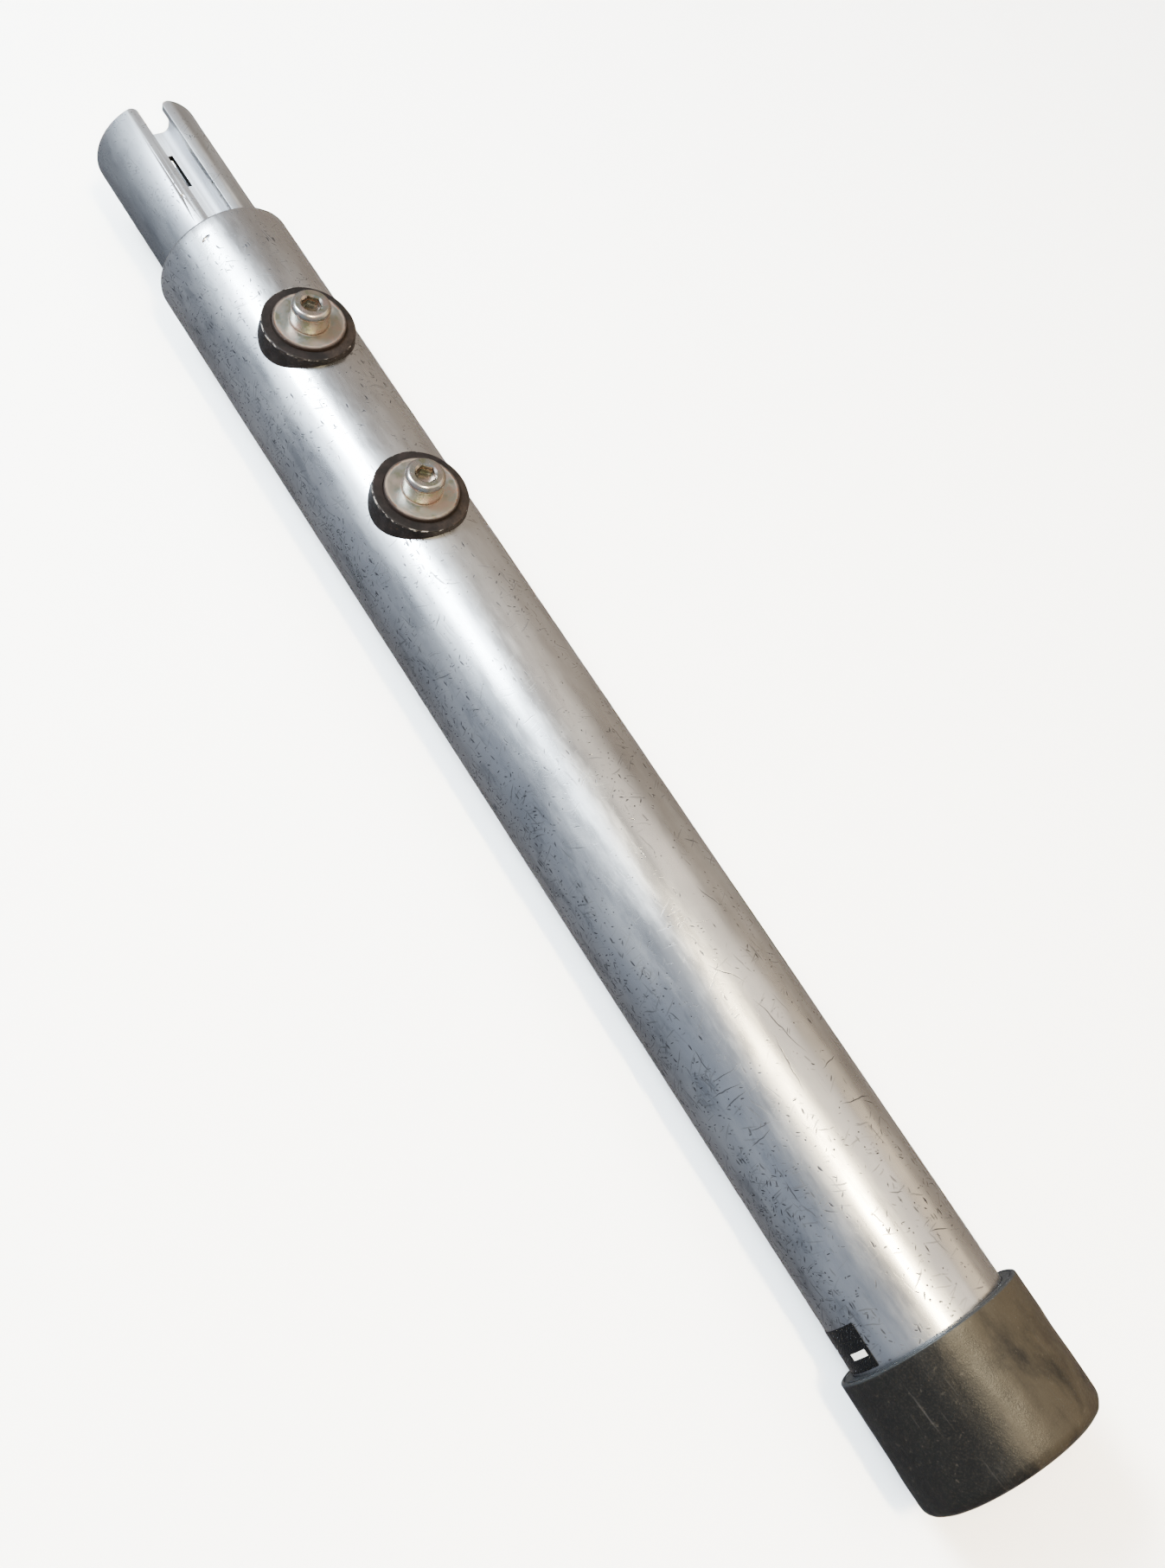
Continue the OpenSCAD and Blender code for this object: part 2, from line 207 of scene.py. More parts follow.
class Finish:
    """One material. Its methods add nodes and return their output sockets."""

    def __init__(self, name, uv=None, **constants):
        self.material = bpy.data.materials.new(name)
        self.material.use_nodes = True
        self.tree = self.material.node_tree
        self.shader = self.tree.nodes["Principled BSDF"]
        for socket, value in constants.items():
            self.shader.inputs[socket.replace("_", " ")].default_value = value
        self.place = self.tree.nodes.new("ShaderNodeTexCoord").outputs["Object"]
        if uv:
            chart = self.tree.nodes.new("ShaderNodeUVMap")
            chart.uv_map = uv
            self.chart = chart.outputs["UV"]

    def add(self, kind, inputs, **settings):
        made = self.tree.nodes.new("ShaderNode" + kind)
        for name, value in settings.items():
            setattr(made, name, value)
        for key, value in inputs.items():
            if isinstance(value, bpy.types.NodeSocket):
                self.tree.links.new(value, made.inputs[key])
            else:
                made.inputs[key].default_value = value
        return made

    def spread(self, source, size, turn=0.0, centre=(0, 0, 0)):
        """Coordinates in which a feature of that size, turned that many degrees, is 1 across."""
        size = size if isinstance(size, tuple) else (size, size, size)
        turned_by = (0, 0, math.radians(turn))
        return self.add("Mapping", {"Vector": source, "Location": centre, "Rotation": turned_by,
                                    "Scale": size}, vector_type="TEXTURE").outputs[0]

    def cloud(self, vector, detail=3.0, rough=0.55, bend=0.0):
        """Soft noise, about 0.3 to 0.7."""
        return self.add("TexNoise", {"Vector": vector, "Scale": 1.0, "Detail": detail,
                                     "Roughness": rough, "Distortion": bend}).outputs["Fac"]

    def band(self, value, low, high, to_low=0.0, to_high=1.0):
        """Value from low to high, spread smoothly over to_low to to_high."""
        return self.add("MapRange", {"Value": value, "From Min": low, "From Max": high,
                                     "To Min": to_low, "To Max": to_high},
                        interpolation_type="SMOOTHSTEP").outputs[0]

    def calc(self, operation, a, b=0.0, c=0.0):
        """One sum, by the Math node's name for it."""
        return self.add("Math", {0: a, 1: b, 2: c}, operation=operation).outputs[0]

    def most(self, *masks):
        """The strongest of the masks at each point."""
        top = masks[0]
        for mask in masks[1:]:
            top = self.calc("MAXIMUM", top, mask)
        return top

    def mix(self, factor, a, b):
        """Colour a where factor is 0, colour b where it is 1."""
        a = a if isinstance(a, bpy.types.NodeSocket) else (*a, 1)
        b = b if isinstance(b, bpy.types.NodeSocket) else (*b, 1)
        return self.add("Mix", {"Factor": factor, 6: a, 7: b}, data_type="RGBA").outputs[2]

    def apart(self, vector):
        """The three parts of a vector."""
        return self.add("SeparateXYZ", {0: vector}).outputs

    def from_axis(self):
        """Distance from the screw's axis, on a plan map."""
        x, y, _ = self.apart(self.chart)
        squares = self.calc("ADD", self.calc("MULTIPLY", x, x), self.calc("MULTIPLY", y, y))
        return self.calc("POWER", squares, 0.5)

    def dashes(self, cell, turn, size, share, extra=None):
        """Short marks, one to a cell of that length and width; share of the cells have one."""
        cells = self.spread(self.chart, (*cell, 1), turn)
        found = self.add("TexVoronoi", {"Vector": cells, "Scale": 1.0, "Randomness": 1.0},
                         voronoi_dimensions="2D").outputs
        inside = self.band(found["Distance"], size, size * 0.5)
        luck, force, _ = self.apart(found["Color"])
        if extra is not None:
            luck = self.calc("ADD", luck, extra)
        chosen = self.calc("MULTIPLY", self.band(luck, 1 - share, 1.02 - share),
                           self.band(force, 0.0, 1.0, 0.25, 1.0))
        return self.calc("MULTIPLY", inside, chosen)

    def hairline(self, source, centre, length, turn, width=0.00027):
        """One long scratch, thin at both ends, centred on (along, around)."""
        size = (length / 2, width, 1)
        local = self.spread(source, size, turn, (*centre, 0))
        inside = self.add("TexGradient", {"Vector": local}, gradient_type="SPHERICAL").outputs["Fac"]
        return self.band(inside, 0.1, 0.6)

    def ripple(self, height, depth, strength=1.0, under=None):
        """Bump from a height of 0 to 1 that stands for that depth in metres."""
        inputs = {"Height": height, "Distance": depth, "Strength": strength}
        if under is not None:
            inputs["Normal"] = under
        return self.add("Bump", inputs).outputs[0]

    def feed(self, **sockets):
        """Joins outputs to the shader's inputs and gives back the material."""
        for socket, value in sockets.items():
            self.tree.links.new(value, self.shader.inputs[socket.replace("_", " ")])
        return self.material


# Long scratches on the tube: (along the arm, around it), length, angle from the arm
TUBE_SCRATCHES = [
    ((0.3975, -0.0225), 0.016, 84), ((0.4010, -0.0215), 0.013, 96), ((0.3935, -0.0205), 0.014, 92),
    ((0.4110, -0.0200), 0.011, 80), ((0.4135, -0.0215), 0.012, 98), ((0.3870, -0.0240), 0.012, 4),
    ((0.3560, -0.0250), 0.007, -60), ((0.3720, -0.0235), 0.006, 20), ((0.3700, -0.0035), 0.016, 35),
    ((0.4190, 0.0105), 0.018, 80), ((0.4215, 0.0140), 0.007, 62), ((0.4060, 0.0090), 0.011, 100),
    ((0.4300, -0.0225), 0.010, 5), ((0.4450, 0.0020), 0.006, 60), ((0.4600, 0.0080), 0.011, 75),
    ((0.3900, 0.0010), 0.030, 12), ((0.4000, -0.0030), 0.024, -6), ((0.3150, -0.0200), 0.009, 55),
    ((0.2450, -0.0260), 0.010, 70), ((0.2300, -0.0180), 0.007, -50), ((0.4400, -0.0165), 0.006, 48),
    ((0.3300, 0.0140), 0.010, 66), ((0.3480, 0.0060), 0.012, 20), ((0.1580, -0.0040), 0.005, 50),
    ((0.3100, -0.0170), 0.0035, 60), ((0.4620, -0.0170), 0.004, -35), ((0.0830, -0.0120), 0.003, 60),
]

# Small marks on worn alloy: (a cell's length and width), angle from the arm, size, share of cells
NICKS = [
    ((0.0048, 0.0012), 4, 0.30, 0.06), ((0.0034, 0.0009), 52, 0.28, 0.05),
    ((0.0040, 0.0009), -38, 0.28, 0.04), ((0.0026, 0.0009), 82, 0.28, 0.04),
    ((0.0013, 0.0012), 20, 0.28, 0.07),
]
SCUFFS = [
    ((0.0150, 0.0011), 14, 0.30, 0.07), ((0.0110, 0.0010), 68, 0.30, 0.07),
    ((0.0130, 0.0010), -57, 0.30, 0.06), ((0.0090, 0.0009), 101, 0.30, 0.06),
]

# A dull grey for dark patches on the tube and for the shade painted on the profile's shoulders.
PATCH_AND_SHADE_GREY = (0.17, 0.18, 0.20)
RUBBED = (0.16, 0.16, 0.17)
NICK_DARK = (0.035, 0.035, 0.045)
CHANNEL_LIGHT, CHANNEL_DULL = (0.70, 0.72, 0.76), (0.60, 0.62, 0.66)
# Nearly black, for the shade painted under the channel.
CHANNEL_PAINTED_SHADE = (0.02, 0.022, 0.022)


def bent_chart(f):
    """The wrap map shifted a little from place to place, so that marks drawn on it bend."""
    reach = 0.0022
    wave = f.add("TexNoise", {"Vector": f.spread(f.place, 0.006), "Scale": 1.0, "Detail": 2.0})
    shift = f.add("VectorMath", {0: wave.outputs["Color"], "Scale": reach}, operation="SCALE")
    moved = f.add("VectorMath", {0: f.chart, 1: shift.outputs[0]}, operation="ADD").outputs[0]
    middle = (reach / 2, reach / 2, 0)
    return f.add("VectorMath", {0: moved, 1: middle}, operation="SUBTRACT").outputs[0]


def worn_marks(f, around, wear, scratches):
    """Nicks, scuffs and long scratches, crowded in patches and low on one side."""
    low_side = f.band(around, -0.012, -0.034)
    patches = f.cloud(f.spread(f.place, (0.022, 0.010, 0.010)), 4, 0.65)
    crowd = f.calc("MULTIPLY_ADD", patches, 0.55 * wear, f.calc("MULTIPLY", low_side, 0.12 * wear))
    crowd = f.calc("SUBTRACT", crowd, 0.27 * wear)
    straight, f.chart = f.chart, bent_chart(f)
    nicks = f.most(*[f.dashes(*nick, crowd) for nick in NICKS])
    scuffs = f.most(*[f.dashes(*scuff, crowd) for scuff in SCUFFS])
    lines = [f.hairline(f.chart, *scratch) for scratch in scratches]
    f.chart = straight
    return f.most(f.calc("MULTIPLY", nicks, 0.95), f.calc("MULTIPLY", scuffs, 0.55),
                  *[f.calc("MULTIPLY", line, 0.85) for line in lines])


def dull_channel(f, channel, around, drawn, base, rough, height):
    """Paints shade on the rounded shoulders beside the land, dulls the channel and paints the shade
    under it nearly black.
    """
    half, floor, ceiling = channel
    fade = 0.0001
    x, y, z = f.apart(f.place)
    inside = f.calc("MULTIPLY", f.band(f.calc("ABSOLUTE", y), half + fade, half),
                    f.band(z, ceiling + fade, ceiling))
    # Painted shade: the rounded shoulders on both sides of the land are darkened, more on the low
    # side.
    painted_shade_near = f.band(around, -0.0105, -0.0125, 0.0, 0.64)
    painted_shade_far = f.band(around, 0.0105, 0.0125, 0.0, 0.46)
    base = f.mix(f.calc("ADD", painted_shade_near, painted_shade_far), base, PATCH_AND_SHADE_GREY)
    lining = f.mix(f.band(drawn, 0.35, 0.7), CHANNEL_LIGHT, CHANNEL_DULL)
    base = f.mix(inside, base, lining)
    rough = f.calc("MAXIMUM", rough, f.calc("MULTIPLY", inside, 0.62))
    calm = f.calc("SUBTRACT", 1.0, f.calc("MULTIPLY", inside, 0.9))
    height = f.calc("MULTIPLY", height, calm)
    # Painted shade: the hollow under the channel's floor is painted nearly black.
    below = f.calc("MULTIPLY", inside, f.band(z, floor - fade, floor - 4 * fade))
    below = f.calc("MULTIPLY", below, f.band(x, 0.0003, 0.0012))
    base = f.mix(f.calc("MULTIPLY", below, 0.97), base, CHANNEL_PAINTED_SHADE)
    return base, rough, height


def worn_alloy(name, tint, shade, wear, gloss, scratches=(), channel=None):
    """Bare extruded aluminium, dulled by handling: fine dark nicks, mostly low on one side.

    A channel is (half width, height of its floor, height of its ceiling): dull, with painted shade
    under it and on the shoulders beside it."""
    f = Finish(name, uv="wrap", Metallic=1.0)
    around = f.apart(f.chart)[1]
    oxide = f.cloud(f.spread(f.place, 0.035), 4, 0.6)
    handling = f.cloud(f.spread(f.place, (0.05, 0.012, 0.012)), 5, 0.65)
    drawn = f.cloud(f.spread(f.place, (0.09, 0.0006, 0.0006)), 3, 0.6)
    grain = f.cloud(f.spread(f.place, 0.0006), 2)
    marks = worn_marks(f, around, wear, scratches)
    rubs = f.band(f.cloud(f.spread(f.chart, (0.028, 0.00035, 1), 2), 2), 0.63, 0.72)
    rubs = f.calc("MULTIPLY", rubs, f.band(handling, 0.45, 0.62))
    # Dark patches, stronger towards the low side.
    dark_patches = f.band(f.cloud(f.spread(f.place, (0.016, 0.006, 0.006)), 5, 0.7), 0.50, 0.66)
    dark_patches = f.calc("MULTIPLY", dark_patches, f.band(around, -0.008, -0.030, 0.15, 1.0))
    base = f.mix(f.band(oxide, 0.35, 0.68), tint, shade)
    base = f.mix(f.band(drawn, 0.35, 0.7, 0, 0.16), base, shade)
    base = f.mix(f.calc("MULTIPLY", rubs, 0.22), base, RUBBED)
    base = f.mix(f.calc("MULTIPLY", dark_patches, 0.42 * wear), base, PATCH_AND_SHADE_GREY)
    base = f.mix(marks, base, NICK_DARK)
    rough = f.band(handling, 0.33, 0.68, *gloss)
    rough = f.calc("ADD", rough, f.calc("MULTIPLY", marks, 0.25))
    height = f.calc("SUBTRACT", f.calc("MULTIPLY", drawn, 0.10), f.calc("MULTIPLY", marks, 0.3))
    height = f.calc("ADD", height, f.calc("MULTIPLY", grain, 0.09))
    if channel:
        base, rough, height = dull_channel(f, channel, around, drawn, base, rough, height)
    return f.feed(Base_Color=base, Roughness=rough, Normal=f.ripple(height, 0.00004))


def mill_alloy(name):
    """Sawn aluminium that has stayed clean inside the tube."""
    f = Finish(name, Metallic=1.0)
    sawn = f.cloud(f.spread(f.place, (0.0004, 0.006, 0.006)), 3)
    tone = f.cloud(f.spread(f.place, 0.01), 3)
    base = f.mix(f.band(tone, 0.35, 0.65), (0.60, 0.61, 0.62), (0.48, 0.49, 0.51))
    return f.feed(Base_Color=base, Roughness=f.band(sawn, 0.3, 0.7, 0.32, 0.48),
                  Normal=f.ripple(sawn, 0.00002))


ZINC_WARM, ZINC_COOL = (0.50, 0.44, 0.37), (0.44, 0.47, 0.45)
ZINC_PINK, ZINC_GREEN, ZINC_DULL = (0.48, 0.38, 0.35), (0.40, 0.42, 0.31), (0.085, 0.076, 0.062)
# Rusty colours, which also colour the painted shadows round a screw's head and along its seat.
RUST_AND_SHADOW_DARK, RUST_AND_SHADOW_BROWN = (0.030, 0.014, 0.009), (0.15, 0.065, 0.030)
# Dark brown for a washer's rim, and a brownish grey for the shade painted in a screw's socket.
RIM_DARK_BROWN, SOCKET_PAINTED_SHADE = (0.020, 0.011, 0.008), (0.08, 0.065, 0.045)


def washer_rust_and_shadow(f, out, fine, broad, rim_r):
    """Rust on a washer, broken near rim_r; past it the rim's side is dark brown all round; and a
    painted shadow ring round the screw's head, in rusty colours.
    """
    ragged = f.band(f.calc("MULTIPLY_ADD", fine, 0.0012, out), rim_r, rim_r + 0.0008)
    ragged = f.calc("MULTIPLY", ragged, f.band(broad, 0.30, 0.60, 0.55, 1.0))
    # Past the edge of the ragged spots the rim's side is dark brown all round.
    whole = f.band(out, rim_r + 0.0003, rim_r + 0.00045)
    # Painted shadow: a dark ring on the washer round the screw's head.
    painted_shadow_under_head = f.band(f.calc("MULTIPLY_ADD", fine, 0.0008, out), 0.0076, 0.0069)
    return ragged, whole, f.calc("MULTIPLY", painted_shadow_under_head, 0.8)


def head_rust_and_shade(f, height, fine, groove_z, seat_z):
    """Dark marks on a screw's head: its groove, partly rusted and partly painted shade, and a painted
    contact shadow along its seat.
    """
    # The groove's dark band is partly rusted and partly painted shade under the head's top edge.
    level = f.calc("ABSOLUTE", f.calc("SUBTRACT", height, groove_z))
    groove = f.band(f.calc("MULTIPLY_ADD", fine, 0.0003, level), 0.00062, 0.00030)
    # Painted shadow: a dark band where the head sits on the washer.
    seat = f.band(height, seat_z + 0.00045, seat_z + 0.00015)
    return f.calc("MULTIPLY", groove, 0.95), f.calc("MULTIPLY", seat, 0.9)


def inside_socket(f, out, height, groove_z):
    """Painted shade on the walls of a screw's hexagon socket, above its floor."""
    socket_shade = f.calc("MULTIPLY", f.band(out, 0.0040, 0.0036),
                    f.band(height, groove_z + 0.0016, groove_z + 0.0008))
    return f.calc("MULTIPLY", socket_shade, f.band(height, groove_z - 0.0020, groove_z - 0.0017))


def plated_steel(name, gloss, dull=0.0, uv=None, rim_r=None, groove_z=None, seat_z=None):
    """Zinc plate gone yellow and faintly iridescent; dull greys it. Rust breaks through, and its
    colours also paint the shadows round a screw's head and along its seat and the shade in its groove;
    the socket's walls get painted shade.

    A washer gives rim_r, and a screw the heights of its head's groove and seat."""
    f = Finish(name, uv=uv)
    broad = f.cloud(f.spread(f.place, 0.006), 3, 0.6)
    second = f.cloud(f.spread(f.place, 0.004, centre=(0.3, 0.1, 0.2)), 3, 0.6)
    fine = f.cloud(f.spread(f.place, 0.0008), 4, 0.7)
    base = f.mix(f.band(broad, 0.38, 0.62), ZINC_WARM, ZINC_COOL)
    base = f.mix(f.band(second, 0.48, 0.66), base, ZINC_PINK)
    base = f.mix(f.band(second, 0.46, 0.34), base, ZINC_GREEN)
    base = f.mix(dull, base, ZINC_DULL)
    rust_and_shadow = f.band(f.calc("MULTIPLY_ADD", fine, 0.5, f.calc("MULTIPLY", broad, 0.5)), 0.57, 0.68)
    rust_and_shadow = f.calc("MULTIPLY", rust_and_shadow, 0.6)
    brown = f.mix(f.band(fine, 0.35, 0.65), RUST_AND_SHADOW_DARK, RUST_AND_SHADOW_BROWN)
    if rim_r:
        out = f.from_axis()
        # The washer's painted shadow ring joins this mask here.
        rust_and_shadow = f.most(rust_and_shadow, *washer_rust_and_shadow(f, out, fine, broad, rim_r))
        brown = f.mix(f.band(out, rim_r, rim_r + 0.0003), brown, RIM_DARK_BROWN)
    if groove_z:
        height = f.apart(f.place)[2]
        # The head's painted contact shadow and groove shade join this mask here.
        rust_and_shadow = f.most(rust_and_shadow, *head_rust_and_shade(f, height, fine, groove_z, seat_z))
        socket_shade = inside_socket(f, f.from_axis(), height, groove_z)
        # Painted shade: the socket's walls are darkened to a brownish grey.
        base = f.mix(f.calc("MULTIPLY", socket_shade, 0.75), base, SOCKET_PAINTED_SHADE)
    base = f.mix(rust_and_shadow, base, brown)
    metal = f.band(rust_and_shadow, 0.1, 0.9, 1.0, 0.15)
    rough = f.calc("ADD", f.band(second, 0.3, 0.7, *gloss), f.calc("MULTIPLY", rust_and_shadow, 0.35))
    relief = f.calc("ADD", f.calc("MULTIPLY", fine, 0.3), f.calc("MULTIPLY", rust_and_shadow, 0.7))
    return f.feed(Base_Color=base, Metallic=metal, Roughness=rough, Normal=f.ripple(relief, 0.00002))


def ring_rubber(name):
    """Black moulded rubber, brown with dust on one side; on the other its lip is pale, partly from
    wear and partly a painted highlight along the rounded edge.
    """
    lip_r, lip_z = 0.01545, 0.0266
    f = Finish(name, uv="plan", Specular_IOR_Level=0.12)
    x, y, _ = f.apart(f.chart)
    height = f.apart(f.place)[2]
    soft = f.cloud(f.spread(f.place, 0.005), 4, 0.6)
    fine = f.cloud(f.spread(f.place, 0.0007), 4, 0.7)
    side = f.calc("ADD", f.calc("MULTIPLY", x, 40), f.calc("MULTIPLY", y, 55))
    dust = f.band(f.calc("MULTIPLY_ADD", soft, 2.2, side), 1.2, 2.6)
    dust = f.calc("MULTIPLY", dust, f.band(fine, 0.3, 0.6, 0.3, 1.0))
    base = f.mix(f.band(soft, 0.35, 0.7), (0.006, 0.005, 0.005), (0.012, 0.009, 0.009))
    base = f.mix(f.calc("MULTIPLY", dust, 0.35), base, (0.05, 0.034, 0.023))
    lip = f.calc("MULTIPLY", f.band(f.from_axis(), lip_r, lip_r + 0.00017),
                 f.band(height, lip_z, lip_z + 0.0003))
    broken = f.cloud(f.spread(f.place, (0.0030, 0.0030, 0.0010)), 4, 0.7)
    # Painted highlight and wear: the outer lip is paled on the side away from the dust.
    lip_wear_and_highlight = f.calc("MULTIPLY", lip, f.band(f.calc("MULTIPLY_ADD", side, -0.10, broken), 0.55, 0.64))
    base = f.mix(f.calc("MULTIPLY", lip_wear_and_highlight, 0.70), base, (0.36, 0.33, 0.31))
    rough = f.band(fine, 0.3, 0.7, 0.42, 0.60)
    bump = f.calc("MULTIPLY_ADD", soft, 0.6, fine)
    return f.feed(Base_Color=base, Roughness=rough, Normal=f.ripple(bump, 0.00006))


def foot_rubber(name):
    """Dark grey rubber under a rubbed film of dry dust, paler on the rim; the film is painted paler
    towards the upper side and darker on the low side, as painted light and shade.
    """
    f = Finish(name, uv="wrap", Specular_IOR_Level=0.24)
    along = f.apart(f.place)[0]
    around = f.apart(f.chart)[1]
    broad = f.cloud(f.spread(f.place, (0.020, 0.016, 0.016)), 5, 0.62, 0.6)
    smear = f.cloud(f.spread(f.chart, (0.030, 0.006, 1), 6), 4, 0.6)
    fine = f.cloud(f.spread(f.place, 0.0006), 4, 0.7)
    specks = f.band(f.cloud(f.spread(f.place, 0.0016), 3, 0.6), 0.63, 0.72)
    film = f.calc("MULTIPLY_ADD", broad, 0.6, f.calc("MULTIPLY", smear, 0.4))
    streak = f.cloud(f.spread(f.chart, (0.022, 0.0010, 1), 4), 3, 0.6)
    streak = f.calc("MULTIPLY", f.band(streak, 0.60, 0.72), f.band(broad, 0.40, 0.60))
    # Painted light and shade: the dust film is made paler towards the upper side and darker on the low
    # side.
    painted_light_side = f.band(around, -0.024, 0.002, -0.20, 0.12)
    film = f.band(f.calc("ADD", film, painted_light_side), 0.42, 0.66)
    base = f.mix(film, (0.004, 0.004, 0.004), (0.031, 0.025, 0.017))
    base = f.mix(f.band(fine, 0.45, 0.7, 0, 0.20), base, (0.045, 0.038, 0.030))
    base = f.mix(f.calc("MULTIPLY", specks, 0.25), base, (0.08, 0.07, 0.055))
    base = f.mix(f.calc("MULTIPLY", streak, 0.5), base, (0.040, 0.038, 0.035))
    rim = f.band(along, FOOT_LOW.x + 0.0008, FOOT_LOW.x + 0.0002)
    base = f.mix(f.calc("MULTIPLY", rim, 0.8), base, (0.022, 0.025, 0.029))
    rough = f.band(smear, 0.3, 0.7, 0.36, 0.50)
    bump = f.calc("MULTIPLY_ADD", fine, 0.5, broad)
    return f.feed(Base_Color=base, Roughness=rough, Normal=f.ripple(bump, 0.00012))


def guide_nylon(name):
    """Off-white moulded nylon with grey rub marks."""
    f = Finish(name, Subsurface_Weight=0.08, Subsurface_Scale=0.004)
    soft = f.cloud(f.spread(f.place, 0.012), 4, 0.6)
    rubbed = f.cloud(f.spread(f.place, (0.02, 0.0015, 0.0015)), 3)
    base = f.mix(f.band(soft, 0.35, 0.7), (0.74, 0.72, 0.66), (0.64, 0.61, 0.54))
    base = f.mix(f.band(rubbed, 0.55, 0.72, 0, 0.35), base, (0.30, 0.30, 0.31))
    return f.feed(Base_Color=base, Roughness=f.band(soft, 0.3, 0.7, 0.42, 0.55),
                  Normal=f.ripple(rubbed, 0.00003))


def label_film(name, bar):
    """Glossy black film with one plain white bar, greyed by fine scuffs."""
    f = Finish(name, uv="wrap", Specular_IOR_Level=0.2)
    scuff = f.cloud(f.spread(f.chart, (0.0004, 0.004, 1), 30), 3)
    soft = f.cloud(f.spread(f.place, 0.004), 3)
    (x, y), (long, wide) = bar
    along, around, _ = f.apart(f.chart)
    in_x = f.band(f.calc("ABSOLUTE", f.calc("SUBTRACT", along, x)), wide / 2, wide / 2 - 0.0001)
    in_y = f.band(f.calc("ABSOLUTE", f.calc("SUBTRACT", around, y)), long / 2, long / 2 - 0.0001)
    printed = f.calc("MULTIPLY", f.calc("MULTIPLY", in_x, in_y), f.band(soft, 0.25, 0.4, 0.7, 1.0))
    base = f.mix(f.band(scuff, 0.58, 0.72, 0, 0.5), (0.003, 0.003, 0.0035), (0.012, 0.012, 0.012))
    base = f.mix(printed, base, (0.72, 0.72, 0.70))
    return f.feed(Base_Color=base, Roughness=f.band(scuff, 0.4, 0.7, 0.18, 0.45),
                  Normal=f.ripple(soft, 0.00004))


# ---------------------------------------------------------------- the tube and its foot

def ellipsoid(name, semi_axes, centre, turn=None):
    """A cutter for one small dent or nick."""
    bm = bmesh.new()
    bmesh.ops.create_uvsphere(bm, u_segments=24, v_segments=14, radius=1)
    bmesh.ops.scale(bm, verts=bm.verts, vec=semi_axes)
    if turn:
        bmesh.ops.rotate(bm, verts=bm.verts, cent=(0, 0, 0), matrix=turn)
    bmesh.ops.translate(bm, verts=bm.verts, vec=centre)
    return finished(name, bm)


def on_tube(x, degrees, out):
    """A point at that distance from the arm's axis, so many degrees from the line of screws."""
    turn = math.radians(degrees)
    return Vector((x, out * math.sin(turn), out * math.cos(turn)))


def outer_tube(screw_places):
    """The tube with a rounded mouth, shallow dents, holes for the screws and a staking mark."""
    stake_x, stake_turn = MOUTH + 0.0073, -28.6
    bm = turned([(MOUTH, BORE_R, EDGE), (MOUTH, TUBE_R, MOUTH_ROUND),
                 (TUBE_END, TUBE_R, EDGE), (TUBE_END, BORE_R, EDGE)], 192, "X")
    long_edges = [e for e in bm.edges if abs(e.verts[0].co.x - e.verts[1].co.x) > 0.1]
    bmesh.ops.subdivide_edges(bm, edges=long_edges, cuts=140, use_grid_fill=True)
    dented(bm, TUBE_R - MOUTH_ROUND, 0.00006, (26, 55))
    piece = finished("worn_tube", bm)
    holes = [finished("hole", turned([(0, 0, 0), (0, HOLE_R, 0), (0.05, HOLE_R, 0), (0.05, 0, 0)],
                                     48, "Z", (x, 0, 0))) for x in screw_places]
    lean = Matrix.Rotation(math.radians(-stake_turn), 3, "X") @ Matrix.Rotation(0.25, 3, "Z")
    stake = ellipsoid("stake", (0.0008, 0.0019, 0.0007),
                      on_tube(stake_x, stake_turn, TUBE_R + 0.0001), lean)
    cut_out(piece, *holes, stake)
    wrap_map(piece)
    return piece


def rubber_foot():
    """A cup with a grooved rim, shallow dents and three rings in its sole."""
    rim, sole, wall = FOOT_LOW.x, FOOT_HIGH.x, TUBE_R + 0.00005
    line_r, line_w, line_depth = TUBE_R + 0.0026, 0.0005, 0.00035
    tread_r, tread_w, tread_depth = (0.008, 0.014, 0.020), 0.0016, 0.0006
    corners = [(rim, wall, 0.0004), (rim, line_r, 0), (rim + line_depth, line_r + 0.0001, 0),
               (rim + line_depth, line_r + line_w, 0), (rim, line_r + line_w + 0.0001, 0),
               (rim, FOOT_R, 0.0006), (sole, FOOT_R, 0.004)]
    for out in reversed(tread_r):
        corners += [(sole, out + tread_w, 0), (sole - tread_depth, out + tread_w - 0.0002, 0),
                    (sole - tread_depth, out + 0.0002, 0), (sole, out, 0)]
    corners += [(sole, 0, 0), (DISC_HIGH.x, 0, 0), (DISC_HIGH.x, wall, 0.0005)]
    bm = turned(corners, 160, "X")
    side = [e for e in bm.edges if abs(e.verts[0].co.x - e.verts[1].co.x) > 0.02
            and all(math.hypot(v.co.y, v.co.z) > wall + 0.001 for v in e.verts)]
    bmesh.ops.subdivide_edges(bm, edges=side, cuts=18, use_grid_fill=True)
    dented(bm, line_r + 0.001, 0.00030, (45, 60))
    piece = finished("foot", bm)
    wrap_map(piece)
    return piece


